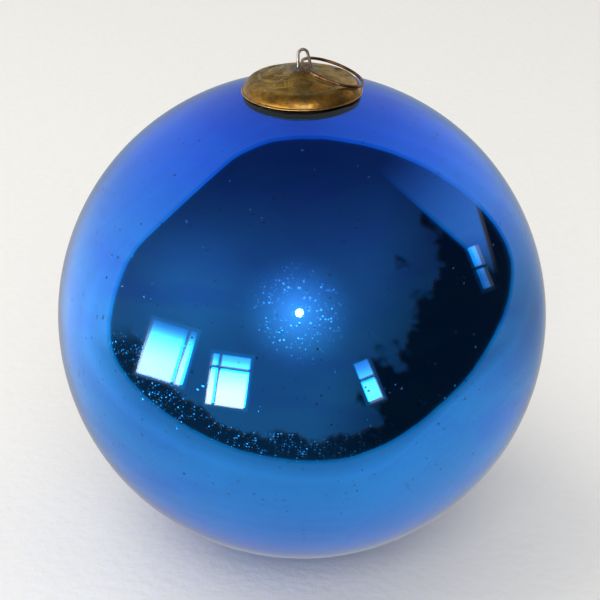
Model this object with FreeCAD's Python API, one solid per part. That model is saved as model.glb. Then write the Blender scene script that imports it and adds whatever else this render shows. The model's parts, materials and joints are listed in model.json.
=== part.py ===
"""Glass ball ornament: a thick blown ball, silvered inside and open at a round mouth on top.
An embossed brass cap covers the mouth. A bent wire hanger passes through the cap, and its two
legs spread under the glass. A loose ring runs through the hanger's loop.

The frame is +Z up the ball's axis, towards the cap. The origin is on that axis, level with the
inside of the hanger's arch, where a hook bears. The ring lies over the cap's +X side. Millimetres.
"""
import os

import FreeCAD
import Part
from math import asin, cos, degrees, hypot, radians, sin, sqrt

Vector = FreeCAD.Vector

# Ball
ball_diameter = 152.0
glass_wall = 2.4
mouth_diameter = 20.0
mouth_edge_radius = 0.6     # fire-polished edge, inside and out
silver_film = 0.15

# Cap
cap_diameter = 36.2
cap_height = 6.9            # from the rim up to the top of the dome, without the boss
cap_sheet = 0.4
dome_curve_radius = 33.0    # the broad top of the dome
shoulder_diameter = 26.0    # where the broad top turns down into the side
side_fullness = 0.31        # how far the side stands out between shoulder and lip
lip_width = 0.55            # the flat lip that turns out at the rim
lip_height = 0.5
boss_diameter = 8.4
boss_height = 0.45
seat_gap = 0.05             # between the cap's rim and the glass

# Leaves pressed in the dome, each outlined by two curved beads round a straight midrib
leaf_count = 5
leaf_middle_radius = 8.9    # from the axis to the middle of a leaf
leaf_length = 8.6
leaf_width = 4.2
leaf_turn = 28.0            # degrees that each leaf leans round the dome
bead_radius = 0.5
bead_depth = 0.27           # how far the middle of a bead lies under the dome's surface

# Hanger
wire_diameter = 0.9
leg_spacing = 3.9           # between the middles of the two legs
hanger_offset = 0.75        # how far the legs' middle stands from the axis, towards the ring's side
loop_height = 5.95          # from the boss to the outside of the arch
arch_width = 2.9            # across the arch, between the middles of its two sides
arch_lean = 14.0            # degrees that the ring-side leg leans in, up to the arch
loop_turn = 14.0            # degrees that the loop is turned from the X axis
hole_gap = 0.08             # round each leg in its hole in the cap
hang_lift = 3.0             # how far the hanger rises until its legs meet the glass
spread_slope = 48.0         # degrees from vertical of each spread leg
spread_reach = 14.0         # from the loop's middle to the end of a leg
leg_bend_radius = 2.0
lift_stop_gap = 0.15        # left between leg and glass at the top of the lift

# Ring
ring_mean_diameter = 19.1
ring_wire_diameter = 0.95
ring_offset = 0.06          # its wire crosses the loop this far out from the axis
ring_rest_height = 1.45     # from the boss to the middle of its wire, inside the loop
ring_rest_gap = 0.12        # at rest, between its wire and the smooth dome that it slopes down over
ring_turn = 3.0             # degrees that the ring's side is turned from the X axis

# Places that follow from the sizes, measured from the ball's centre
ball_radius = ball_diameter / 2
inner_radius = ball_radius - glass_wall
mouth_radius = mouth_diameter / 2
rim_radius = cap_diameter / 2
wire_radius = wire_diameter / 2
seat_z = sqrt((ball_radius + seat_gap) ** 2 - (rim_radius - lip_width) ** 2)
dome_z = seat_z + cap_height
boss_z = dome_z + boss_height
ring_z = boss_z + ring_rest_height

# The ball's centre in the part's frame, which starts from the inside of the arch
centre = Vector(0, 0, -(boss_z + loop_height - wire_diameter))


def revolved(points):
    """A solid turned about Z from an outline of (radius, height) pairs and ("arc", through, to) steps."""
    edges = []
    first = last = Vector(points[0][0], 0, points[0][1])
    for step in points[1:]:
        if step[0] == "arc":
            through, to = (Vector(r, 0, z) for r, z in step[1:])
            edges.append(Part.Arc(last, through, to).toShape())
        else:
            to = Vector(step[0], 0, step[1])
            edges.append(Part.makeLine(last, to))
        last = to
    if (last - first).Length > 1e-7:
        edges.append(Part.makeLine(last, first))
    face = Part.Face(Part.Wire(edges))
    return face.revolve(Vector(0, 0, 0), Vector(0, 0, 1), 360)


def shell(outer, inner, hole_radius):
    """A hollow sphere with a round hole along +Z."""
    hole = Part.makeCylinder(hole_radius, 2 * outer, Vector(0, 0, 0))
    return Part.makeSphere(outer).cut(Part.makeSphere(inner)).cut(hole)


def placed_at_loop(shape):
    """Turn a shape made about the Z axis to the loop's direction, and move it to the loop's middle."""
    shape.rotate(Vector(0, 0, 0), Vector(0, 0, 1), loop_turn)
    shape.translate(Vector(hanger_offset, 0, 0))
    return shape


def glass_ball():
    ball = shell(ball_radius, inner_radius, mouth_radius)
    edges = [e for e in ball.Edges if not e.Degenerated and e.BoundBox.ZLength < 1e-6
             and abs(e.BoundBox.XLength - mouth_diameter) < 1e-6]
    return ball.makeFillet(min(mouth_edge_radius, 0.3 * glass_wall), edges)


def silver_lining():
    """The mirror film on the inside of the glass, as far as the mouth's rounded edge."""
    return shell(inner_radius, inner_radius - silver_film, mouth_radius + mouth_edge_radius)


def dome_side(inset, start_radius=0.0):
    """The dome's outline moved in by inset, from start_radius to the lip, as revolve steps."""
    curve = dome_curve_radius - inset
    curve_z = dome_z - dome_curve_radius
    turn_shoulder = asin(shoulder_diameter / 2 / dome_curve_radius)
    turn_start = asin(start_radius / curve)

    def on_dome(turn):
        return (curve * sin(turn), curve_z + curve * cos(turn))

    side_radius = rim_radius - lip_width - inset
    foot_z = seat_z + lip_height
    shoulder = on_dome(turn_shoulder)
    bulge = (
        side_radius - (side_radius - shoulder[0]) * side_fullness,
        shoulder[1] - (shoulder[1] - foot_z) * side_fullness,
    )
    return [
        on_dome(turn_start),
        ("arc", on_dome((turn_start + turn_shoulder) / 2), shoulder),
        ("arc", bulge, (side_radius, foot_z)),
    ]


def leaf_beads():
    """The raised lines of every leaf, each a part of a torus laid in the dome's top."""
    half_length, half_width = leaf_length / 2, leaf_width / 2
    side_curve = (half_length ** 2 + half_width ** 2) / (2 * half_width)
    side_turn = degrees(asin(half_length / side_curve))
    rib_curve = dome_curve_radius - bead_depth
    rib_turn = degrees(half_length / rib_curve)
    lean = degrees(asin(leaf_middle_radius / dome_curve_radius))
    beads = []
    for index in range(leaf_count):
        leaf = []
        for facing in (0, 180):
            side = Part.makeTorus(side_curve, bead_radius, Vector(0, 0, 0), Vector(0, 0, 1),
                                  0, 360, 2 * side_turn)
            side.rotate(Vector(0, 0, 0), Vector(0, 0, 1), 90 - side_turn)
            side.translate(Vector(0, half_width - side_curve, -bead_depth))
            side.rotate(Vector(0, 0, 0), Vector(0, 0, 1), facing)
            leaf.append(side)
        rib = Part.makeTorus(rib_curve, bead_radius, Vector(0, 0, 0), Vector(0, 0, 1),
                             0, 360, 2 * rib_turn)
        rib.rotate(Vector(0, 0, 0), Vector(0, 0, 1), 90 - rib_turn)
        rib.rotate(Vector(0, 0, 0), Vector(1, 0, 0), 90)
        rib.translate(Vector(0, 0, -dome_curve_radius))
        leaf.append(rib)
        for bead in leaf:
            bead.rotate(Vector(0, 0, 0), Vector(0, 0, 1), leaf_turn)
            bead.translate(Vector(0, 0, dome_curve_radius))
            bead.rotate(Vector(0, 0, 0), Vector(0, 1, 0), lean)
            bead.translate(Vector(0, 0, dome_z - dome_curve_radius))
            bead.rotate(Vector(0, 0, 0), Vector(0, 0, 1), (index + 0.5) * 360 / leaf_count)
        beads += leaf
    return beads


def brass_cap():
    """A thin dome with leaves, a turned-out lip at the rim, and a boss with a hole for each leg."""
    lip_inner = rim_radius - lip_width - cap_sheet
    outside = revolved([(0, boss_z), (boss_diameter / 2 - boss_height, boss_z)]
                       + dome_side(0, boss_diameter / 2)
                       + [(rim_radius, seat_z + lip_height), (rim_radius, seat_z), (0, seat_z)])
    inside = revolved(dome_side(cap_sheet) + [(lip_inner, seat_z - cap_sheet), (0, seat_z - cap_sheet)])
    cap = outside.fuse(leaf_beads()).cut(inside).cut(Part.makeSphere(ball_radius + seat_gap))
    for side in (-1, 1):
        hole = Part.makeCylinder(
            wire_radius + hole_gap, 3 * cap_height, Vector(side * leg_spacing / 2, 0, seat_z)
        )
        cap = cap.cut(placed_at_loop(hole))
    return cap


def leg_bend_z():
    """The height of the corner where a leg turns outwards, so that it meets the glass after hang_lift."""
    slope = radians(spread_slope)
    glass_edge_z = sqrt(inner_radius ** 2 - mouth_radius ** 2)
    run = (mouth_radius - hanger_offset - leg_spacing / 2) / sin(slope)
    wire_rise = (wire_radius + lift_stop_gap) / sin(slope)
    return glass_edge_z - hang_lift + run * cos(slope) - wire_rise


def hanger_wire():
    """One round wire: spread foot, straight leg, arch, leaning leg, straight leg, spread foot."""
    leg_x = leg_spacing / 2
    bend_z = leg_bend_z()
    arch_radius = arch_width / 2
    arch_x = arch_radius - leg_x
    arch_z = boss_z + loop_height - wire_radius - arch_radius
    lean = radians(arch_lean)
    meet = Vector(arch_x + arch_radius * cos(lean), 0, arch_z + arch_radius * sin(lean))
    lean_z = meet.z - (leg_x - meet.x) / sin(lean) * cos(lean)
    slope = radians(spread_slope)

    def foot(side):
        drop = (spread_reach - leg_x) / sin(slope) * cos(slope)
        return Vector(side * spread_reach, 0, bend_z - drop)

    def bend(before, corner, after):
        """The start, middle and end of the arc that rounds a corner of the wire."""
        back, on = (before - corner).normalize(), (after - corner).normalize()
        half = back.getAngle(on) / 2
        inward = (back + on).normalize()
        start = corner + back * (leg_bend_radius / sin(half) * cos(half))
        end = corner + on * (leg_bend_radius / sin(half) * cos(half))
        return start, corner + inward * (leg_bend_radius / sin(half) - leg_bend_radius), end

    top_a = Vector(-leg_x, 0, arch_z)
    corner_a, corner_b = Vector(-leg_x, 0, bend_z), Vector(leg_x, 0, bend_z)
    knee = Vector(leg_x, 0, lean_z)
    bend_a = bend(foot(-1), corner_a, top_a)
    bend_knee = bend(meet, knee, corner_b)
    bend_b = bend(knee, corner_b, foot(1))
    over = (lean + radians(180)) / 2
    crown = Vector(arch_x + arch_radius * cos(over), 0, arch_z + arch_radius * sin(over))
    path = Part.Wire([
        Part.makeLine(foot(-1), bend_a[0]),
        Part.Arc(*bend_a).toShape(),
        Part.makeLine(bend_a[2], top_a),
        Part.Arc(top_a, crown, meet).toShape(),
        Part.makeLine(meet, bend_knee[0]),
        Part.Arc(*bend_knee).toShape(),
        Part.makeLine(bend_knee[2], bend_b[0]),
        Part.Arc(*bend_b).toShape(),
        Part.makeLine(bend_b[2], foot(1)),
    ])
    start = Part.Wire(Part.makeCircle(wire_radius, foot(-1), corner_a - foot(-1)))
    return placed_at_loop(path.makePipeShell([start], True, True))


def ring_slope():
    """Degrees that the ring slopes down at rest, where its wire clears the smooth dome by ring_rest_gap.
    Points along half the wire are measured against points on the dome's outline, halving the angle."""
    start, (_, through_top, shoulder), (_, through_side, foot) = dome_side(0)
    outline = []
    for arc in ((start, through_top, shoulder), (shoulder, through_side, foot)):
        outline += Part.Arc(*(Vector(r, 0, z) for r, z in arc)).toShape().discretize(60)
    mean_radius = ring_mean_diameter / 2

    def wire_gap(slope):
        gaps = []
        for turn in range(181):
            reach = mean_radius * (1 + cos(radians(turn)))
            radius = hypot(ring_offset + reach * cos(slope), mean_radius * sin(radians(turn)))
            middle = Vector(radius, 0, ring_z - reach * sin(slope))
            gaps += [middle.distanceToPoint(point) for point in outline]
        return min(gaps) - ring_wire_diameter / 2

    low, high = 0.0, radians(60)
    while high - low > 1e-4:
        slope = (low + high) / 2
        low, high = (slope, high) if wire_gap(slope) > ring_rest_gap else (low, slope)
    return degrees(low)


def hanging_ring():
    """A plain wire ring that passes through the loop and slopes down over the cap."""
    mean_radius = ring_mean_diameter / 2
    ring = Part.makeTorus(mean_radius, ring_wire_diameter / 2)
    ring.translate(Vector(mean_radius, 0, 0))
    ring.rotate(Vector(0, 0, 0), Vector(0, 1, 0), ring_slope())
    ring.translate(Vector(ring_offset, 0, ring_z))
    ring.rotate(Vector(0, 0, 0), Vector(0, 0, 1), ring_turn)
    return ring


os.makedirs("parts", exist_ok=True)
for make in (glass_ball, silver_lining, brass_cap, hanger_wire, hanging_ring):
    solid = make()
    solid.translate(centre)
    box = solid.BoundBox
    assert solid.isValid() and len(solid.Solids) == 1, make.__name__
    solid.exportStep("parts/" + make.__name__ + ".step")
    print(
        f"{make.__name__}: volume {solid.Volume:.1f} mm3, "
        f"x {box.XMin:.2f} {box.XMax:.2f}, y {box.YMin:.2f} {box.YMax:.2f}, z {box.ZMin:.2f} {box.ZMax:.2f}"
    )
print(f"ball centre z {centre.z:.3f}, boss top z {boss_z + centre.z:.3f}, ring slope {ring_slope():.2f}")
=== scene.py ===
import json
from math import asin, atan2, cos, pi, radians, sin, sqrt, tan

import bpy
import numpy as np
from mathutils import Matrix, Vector

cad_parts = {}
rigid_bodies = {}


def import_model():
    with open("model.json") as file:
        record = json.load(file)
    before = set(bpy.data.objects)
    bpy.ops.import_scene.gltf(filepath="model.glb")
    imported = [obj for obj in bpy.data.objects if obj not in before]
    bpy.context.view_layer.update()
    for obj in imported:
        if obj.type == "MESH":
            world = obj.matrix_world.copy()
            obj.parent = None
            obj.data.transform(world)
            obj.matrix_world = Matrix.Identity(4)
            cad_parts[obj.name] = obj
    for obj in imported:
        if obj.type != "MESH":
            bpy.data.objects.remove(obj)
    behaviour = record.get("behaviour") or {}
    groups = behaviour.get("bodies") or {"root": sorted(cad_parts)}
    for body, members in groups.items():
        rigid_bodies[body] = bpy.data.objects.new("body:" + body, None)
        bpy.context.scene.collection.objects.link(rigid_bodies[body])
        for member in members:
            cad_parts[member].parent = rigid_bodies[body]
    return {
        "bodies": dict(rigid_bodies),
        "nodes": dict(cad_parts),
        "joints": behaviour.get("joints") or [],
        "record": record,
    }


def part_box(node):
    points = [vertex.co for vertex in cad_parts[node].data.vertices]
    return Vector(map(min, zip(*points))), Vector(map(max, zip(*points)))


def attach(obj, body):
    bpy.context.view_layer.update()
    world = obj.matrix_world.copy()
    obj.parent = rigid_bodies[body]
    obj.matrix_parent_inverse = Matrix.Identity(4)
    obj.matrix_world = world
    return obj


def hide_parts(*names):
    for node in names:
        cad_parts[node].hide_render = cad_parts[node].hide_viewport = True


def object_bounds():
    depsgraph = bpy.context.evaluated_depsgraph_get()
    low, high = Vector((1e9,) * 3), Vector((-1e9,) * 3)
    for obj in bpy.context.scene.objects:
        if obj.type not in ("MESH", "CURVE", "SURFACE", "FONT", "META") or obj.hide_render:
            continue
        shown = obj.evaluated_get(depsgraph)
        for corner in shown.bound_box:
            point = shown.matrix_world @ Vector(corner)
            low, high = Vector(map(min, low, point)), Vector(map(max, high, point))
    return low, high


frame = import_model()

mm = 0.001
ballRadius = 76.0      # in mm
cadLow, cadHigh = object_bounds()
ballCentre = Vector((0.0, 0.0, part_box("glass_ball")[0].z + ballRadius * mm))      # on the axis


def meshFromArrays(name, verts, faces, body, material, replaced, raised=None):
    # puts whole arrays of points and faces into one smooth mesh and hands it to its body;
    # raised is a value for each point, from 0 in the hollows to 1 on the crests
    mesh = bpy.data.meshes.new(name)
    mesh.from_pydata(verts.tolist(), [], faces)
    mesh.polygons.foreach_set("use_smooth", np.ones(len(mesh.polygons), bool))
    if raised is not None:
        mesh.attributes.new("raised", "FLOAT", "POINT").data.foreach_set("value", raised)
    mesh.update()
    obj = bpy.data.objects.new(name, mesh)
    bpy.context.scene.collection.objects.link(obj)
    obj.data.materials.append(material)
    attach(obj, body)
    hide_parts(*replaced)


def turnedGrid(radii, heights, turns):
    # x = r cos a, y = r sin a, z = h, for every profile point (r, h) and every angle a, as one array
    angle = np.linspace(0, 2 * pi, turns, endpoint=False)
    x, y = radii[:, None] * np.cos(angle), radii[:, None] * np.sin(angle)
    return np.stack([x, y, np.broadcast_to(heights[:, None], x.shape)], -1)


def closedTurning(grid):
    # quads between neighbouring rings, wrapped round the axis, and a fan of triangles onto each pole;
    # the first and last ring are poles, so each keeps one point
    rings, turns = grid.shape[:2]
    verts = np.concatenate([grid[:1, 0], grid[1:-1].reshape(-1, 3), grid[-1:, 0]])
    inner = rings - 2
    i, j = np.meshgrid(np.arange(inner - 1), np.arange(turns), indexing="ij")
    k = (j + 1) % turns
    quads = 1 + np.stack([i * turns + j, i * turns + k, (i + 1) * turns + k, (i + 1) * turns + j], -1)
    around = np.arange(turns)
    following = (around + 1) % turns
    start = np.stack([0 * around, 1 + following, 1 + around], -1)
    last = 1 + (inner - 1) * turns
    end = np.stack([0 * around + len(verts) - 1, last + around, last + following], -1)
    return verts, start.tolist() + quads.reshape(-1, 4).tolist() + end.tolist()


def arcPoints(centre, radius, start, end, count):
    # centre + radius (cos a, sin a), for count angles a from start to end
    a = np.linspace(start, end, count)
    return np.stack([centre[0] + radius * np.cos(a), centre[1] + radius * np.sin(a)], -1)


def arcThrough(a, b, c, count):
    # the arc through three points: its centre is where the perpendicular bisectors meet
    (ax, ay), (bx, by), (cx, cy) = a, b, c
    d = 2 * (ax * (by - cy) + bx * (cy - ay) + cx * (ay - by))
    a2, b2, c2 = ax * ax + ay * ay, bx * bx + by * by, cx * cx + cy * cy
    ux = (a2 * (by - cy) + b2 * (cy - ay) + c2 * (ay - by)) / d
    uy = (a2 * (cx - bx) + b2 * (ax - cx) + c2 * (bx - ax)) / d
    return arcPoints((ux, uy), sqrt((ax - ux) ** 2 + (ay - uy) ** 2),
                     atan2(ay - uy, ax - ux), atan2(cy - uy, cx - ux), count)


def evenSteps(points, count):
    # the same line with its points spread evenly along its length
    run = np.concatenate([[0], np.cumsum(np.linalg.norm(np.diff(points, axis=0), axis=1))])
    at = np.linspace(0, run[-1], count)
    return np.stack([np.interp(at, run, points[:, k]) for k in range(points.shape[1])], -1)


def tubeAlong(path, planeNormal, radius, sides, closed):
    # a circle of the given radius in the plane of (n, t x n) carried along a flat path, where t is the
    # path's direction and n the path plane's normal; an open tube is closed by rounded ends
    if closed:
        direction = np.roll(path, -1, 0) - np.roll(path, 1, 0)
    else:
        direction = np.gradient(path, axis=0)
    direction /= np.linalg.norm(direction, axis=1)[:, None]
    across = np.cross(direction, planeNormal)
    angle = np.linspace(0, 2 * pi, sides, endpoint=False)
    ring = np.cos(angle)[None, :, None] * planeNormal + np.sin(angle)[None, :, None] * across[:, None]
    grid = path[:, None] + radius[..., None] * ring
    count = len(path)
    i, j = np.meshgrid(np.arange(count if closed else count - 1), np.arange(sides), indexing="ij")
    n, k = (i + 1) % count, (j + 1) % sides
    quads = np.stack([i * sides + j, i * sides + k, n * sides + k, n * sides + j], -1)
    verts = grid.reshape(-1, 3)
    faces = quads.reshape(-1, 4).tolist()
    if not closed:
        verts = np.concatenate([verts, path[:1], path[-1:]])
        j = np.arange(sides)
        k = (j + 1) % sides
        first, final = len(verts) - 2, len(verts) - 1
        faces += np.stack([0 * j + first, k, j], -1).tolist()
        faces += np.stack([0 * j + final, (count - 1) * sides + j, (count - 1) * sides + k], -1).tolist()
    return verts, faces


def newNode(tree, kind, at, **settings):
    # a shader node at a place in the node editor, with its settings
    node = tree.nodes.new(kind)
    node.location = at
    for key, value in settings.items():
        setattr(node, key, value)
    return node


def wire(tree, source, target):
    tree.links.new(source, target)


def mathNode(tree, operation, at, a, b=None, c=None, clamp=False):
    # one step of arithmetic on sockets or plain numbers
    node = newNode(tree, "ShaderNodeMath", at, operation=operation, use_clamp=clamp)
    for index, value in enumerate((a, b, c)):
        if value is None:
            continue
        if isinstance(value, (int, float)):
            node.inputs[index].default_value = value
        else:
            wire(tree, value, node.inputs[index])
    return node.outputs[0]


def vectorNode(tree, operation, at, a, b=None):
    # one step of arithmetic on vectors, giving a number where the step is a measure
    node = newNode(tree, "ShaderNodeVectorMath", at, operation=operation)
    for index, value in enumerate((a, b)):
        if value is None:
            continue
        if isinstance(value, (tuple, Vector)):
            node.inputs[index].default_value = tuple(value)
        else:
            wire(tree, value, node.inputs[index])
    return node.outputs["Value"] if operation in ("DOT_PRODUCT", "DISTANCE", "LENGTH") else node.outputs[0]


def rangeNode(tree, at, value, fromLow, fromHigh, toLow=0.0, toHigh=1.0, smooth=True):
    # toLow at fromLow and toHigh at fromHigh, with an S-shaped or a straight way between them
    node = newNode(tree, "ShaderNodeMapRange", at, interpolation_type="SMOOTHSTEP" if smooth else "LINEAR")
    wire(tree, value, node.inputs["Value"])
    limits = {"From Min": fromLow, "From Max": fromHigh, "To Min": toLow, "To Max": toHigh}
    for key, number in limits.items():
        node.inputs[key].default_value = number
    return node.outputs["Result"]


def noiseNode(tree, at, vector, scale, detail=3.0, roughness=0.55, distortion=0.0):
    # cloudy noise around 0.5, with scale clouds to the unit
    node = newNode(tree, "ShaderNodeTexNoise", at)
    wire(tree, vector, node.inputs["Vector"])
    node.inputs["Scale"].default_value = scale
    node.inputs["Detail"].default_value = detail
    node.inputs["Roughness"].default_value = roughness
    node.inputs["Distortion"].default_value = distortion
    return node.outputs["Fac"]


def mixColour(tree, at, factor, a, b, blendType="MIX"):
    # a (1 - factor) + b factor, or a times b by that factor
    node = newNode(tree, "ShaderNodeMix", at, data_type="RGBA", blend_type=blendType)
    for socket, value in ((node.inputs[0], factor), (node.inputs[6], a), (node.inputs[7], b)):
        if isinstance(value, (int, float)):
            socket.default_value = value
        elif isinstance(value, tuple):
            socket.default_value = (*value, 1.0)
        else:
            wire(tree, value, socket)
    return node.outputs[2]


def newMaterial(name):
    # a material with its shader and the object's own coordinates, in metres
    material = bpy.data.materials.new(name)
    material.use_nodes = True
    tree = material.node_tree
    shader = tree.nodes["Principled BSDF"]
    shader.location = (600, 0)
    tree.nodes["Material Output"].location = (900, 0)
    place = newNode(tree, "ShaderNodeTexCoord", (-1400, 0))
    return material, tree, shader, place.outputs["Object"]


def bumpNode(tree, at, height, strength, distance, before=None):
    # leans the surface by the slope of height x distance, on top of the bump before it
    node = newNode(tree, "ShaderNodeBump", at)
    node.inputs["Strength"].default_value = strength
    node.inputs["Distance"].default_value = distance
    wire(tree, height, node.inputs["Height"])
    if before is not None:
        wire(tree, before, node.inputs["Normal"])
    return node.outputs["Normal"]


def groupOf(name, inputs, outputs):
    # a node group with plain number and vector sockets
    tree = bpy.data.node_groups.new(name, "ShaderNodeTree")
    for label, kind, value in inputs:
        socket = tree.interface.new_socket(name=label, in_out="INPUT", socket_type=kind)
        if value is not None:
            socket.default_value = value
    for label in outputs:
        tree.interface.new_socket(name=label, in_out="OUTPUT", socket_type="NodeSocketFloat")
    return tree, newNode(tree, "NodeGroupInput", (-900, 0)), newNode(tree, "NodeGroupOutput", (700, 0))


def useGroup(tree, at, group, vector, values):
    # a group in a material, with the vector it works on and its own values
    node = newNode(tree, "ShaderNodeGroup", at)
    node.node_tree = group
    wire(tree, vector, node.inputs["Vector"])
    for key, value in values.items():
        node.inputs[key].default_value = value
    return node.outputs


def makeScatteredSpots():
    # round spots at random places: one in every few Voronoi cells holds a spot, of its own random size
    tree, given, result = groupOf("scatteredSpots", [
        ("Vector", "NodeSocketVector", None), ("Scale", "NodeSocketFloat", 400.0),
        ("Share", "NodeSocketFloat", 0.2), ("Size", "NodeSocketFloat", 0.2)], ["Mask", "Random"])
    cells = newNode(tree, "ShaderNodeTexVoronoi", (-600, 0))
    wire(tree, given.outputs["Vector"], cells.inputs["Vector"])
    wire(tree, given.outputs["Scale"], cells.inputs["Scale"])
    parts = newNode(tree, "ShaderNodeSeparateColor", (-400, 150))
    wire(tree, cells.outputs["Color"], parts.inputs[0])
    chosen = mathNode(tree, "LESS_THAN", (-200, 200), parts.outputs[0], given.outputs["Share"])
    spread = mathNode(tree, "MULTIPLY_ADD", (-200, 50), parts.outputs[1], 0.8, 0.25)
    size = mathNode(tree, "MULTIPLY", (0, 50), spread, given.outputs["Size"])
    near = mathNode(tree, "DIVIDE", (150, 0), cells.outputs["Distance"], size)
    cone = mathNode(tree, "SUBTRACT", (300, 0), 1.0, near, clamp=True)
    soft = mathNode(tree, "SMOOTH_MIN", (400, 0), mathNode(tree, "MULTIPLY", (350, 0), cone, 2.0), 1.0, 0.2)
    wire(tree, mathNode(tree, "MULTIPLY", (500, 0), chosen, soft, clamp=True), result.inputs["Mask"])
    wire(tree, parts.outputs[2], result.inputs["Random"])
    return tree


def makeTarnish():
    # two sizes of cloud multiplied, so that dark patches gather in some places and leave others clean
    tree, given, result = groupOf("tarnishClouds", [
        ("Vector", "NodeSocketVector", None), ("Broad", "NodeSocketFloat", 90.0),
        ("Fine", "NodeSocketFloat", 600.0)], ["Mask", "Grain"])
    broad = newNode(tree, "ShaderNodeTexNoise", (-600, 150))
    fine = newNode(tree, "ShaderNodeTexNoise", (-600, -150))
    for node, scale, detail in ((broad, "Broad", 5.0), (fine, "Fine", 4.0)):
        wire(tree, given.outputs["Vector"], node.inputs["Vector"])
        wire(tree, given.outputs[scale], node.inputs["Scale"])
        node.inputs["Detail"].default_value = detail
        node.inputs["Roughness"].default_value = 0.6
    broadMask = rangeNode(tree, (-300, 150), broad.outputs["Fac"], 0.38, 0.62)
    fineMask = rangeNode(tree, (-300, -150), fine.outputs["Fac"], 0.3, 0.75)
    both = mathNode(tree, "MULTIPLY_ADD", (0, 0), fineMask, 0.5, 0.5)
    wire(tree, mathNode(tree, "MULTIPLY", (200, 50), broadMask, both, clamp=True), result.inputs["Mask"])
    wire(tree, fineMask, result.inputs["Grain"])
    return tree


def makeRubbedEdges():
    # where the surface stands out, by Pointiness, broken up by noise
    tree, given, result = groupOf("rubbedEdges", [
        ("Vector", "NodeSocketVector", None), ("Low", "NodeSocketFloat", 0.5),
        ("High", "NodeSocketFloat", 0.56), ("Scale", "NodeSocketFloat", 500.0)], ["Mask"])
    shape = newNode(tree, "ShaderNodeNewGeometry", (-600, 200))
    noise = newNode(tree, "ShaderNodeTexNoise", (-600, -150))
    wire(tree, given.outputs["Vector"], noise.inputs["Vector"])
    wire(tree, given.outputs["Scale"], noise.inputs["Scale"])
    noise.inputs["Detail"].default_value = 4.0
    edge = newNode(tree, "ShaderNodeMapRange", (-300, 150), interpolation_type="SMOOTHSTEP")
    wire(tree, shape.outputs["Pointiness"], edge.inputs["Value"])
    wire(tree, given.outputs["Low"], edge.inputs["From Min"])
    wire(tree, given.outputs["High"], edge.inputs["From Max"])
    broken = rangeNode(tree, (-300, -150), noise.outputs["Fac"], 0.3, 0.6, 0.35, 1.0)
    wire(tree, mathNode(tree, "MULTIPLY", (0, 0), edge.outputs["Result"], broken, clamp=True),
         result.inputs["Mask"])
    return tree


scatteredSpots = makeScatteredSpots()
tarnishClouds = makeTarnish()
rubbedEdges = makeRubbedEdges()
print("shared effects ready")


ballLook = {
    "radius": ballRadius, "wall": 2.4, "mouth": 10.0, "mouthEdge": 0.6, "turns": 256, "rows": 160,
    "gap": 0.06,                               # kept between the glass and the silvering
    "film": 0.15,
    "paleBlue": (0.006, 0.320, 1.0), "deepBlue": (0.002, 0.120, 0.97), "thickBlue": (0.2, 0.60, 0.96),
    "deepFrom": -0.057, "deepTo": 0.011,       # heights between which the glass gets deeper upwards
    "belowFrom": -0.108, "belowTo": -0.146,    # and a little deeper again downwards
    "below": 0.45,
    "streaks": {"stretch": (1.0, 1.0, 3.6), "scale": 17.0, "from": 0.45, "to": 0.68, "share": 0.55},
    "index": 1.43,
    "seeds": {"Scale": 70.0, "Share": 0.5, "Size": 0.06},
    "dust": {"Scale": 330.0, "Share": 0.4, "Size": 0.15},
    "silver": (0.96, 0.97, 0.98), "greySilver": (0.87, 0.88, 0.90), "bare": (0.03, 0.035, 0.04),
    "silverClouds": {"Broad": 35.0, "Fine": 240.0},
    "pinholes": {"Scale": 320.0, "Share": 0.8, "Size": 0.16},
}


def ballOutline(outer, inner, mouth, edge, rows):
    # south pole, up the outer sphere to the mouth, round the lip, down the inner sphere to its south pole
    topOuter = asin((mouth + edge) / outer)
    topInner = asin((mouth + edge) / inner)
    a = np.linspace(0, pi - topOuter, rows)
    outside = np.stack([outer * np.sin(a), -outer * np.cos(a)], -1)
    b = np.linspace(pi - topInner, 0, rows)
    inside = np.stack([inner * np.sin(b), -inner * np.cos(b)], -1)
    lip = []
    if edge > 0:
        upper, lower = outside[-1], inside[0]
        lip = [evenSteps(np.array([upper, (mouth + edge * 0.3, upper[1] - 0.12 * edge),
                                   (mouth, upper[1] - edge), (mouth, lower[1] + edge),
                                   (mouth + edge * 0.3, lower[1] + 0.12 * edge), lower]), 14)[1:-1]]
    outline = np.concatenate([outside, *lip, inside])
    outline[[0, -1], 0] = 0
    return outline


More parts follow.
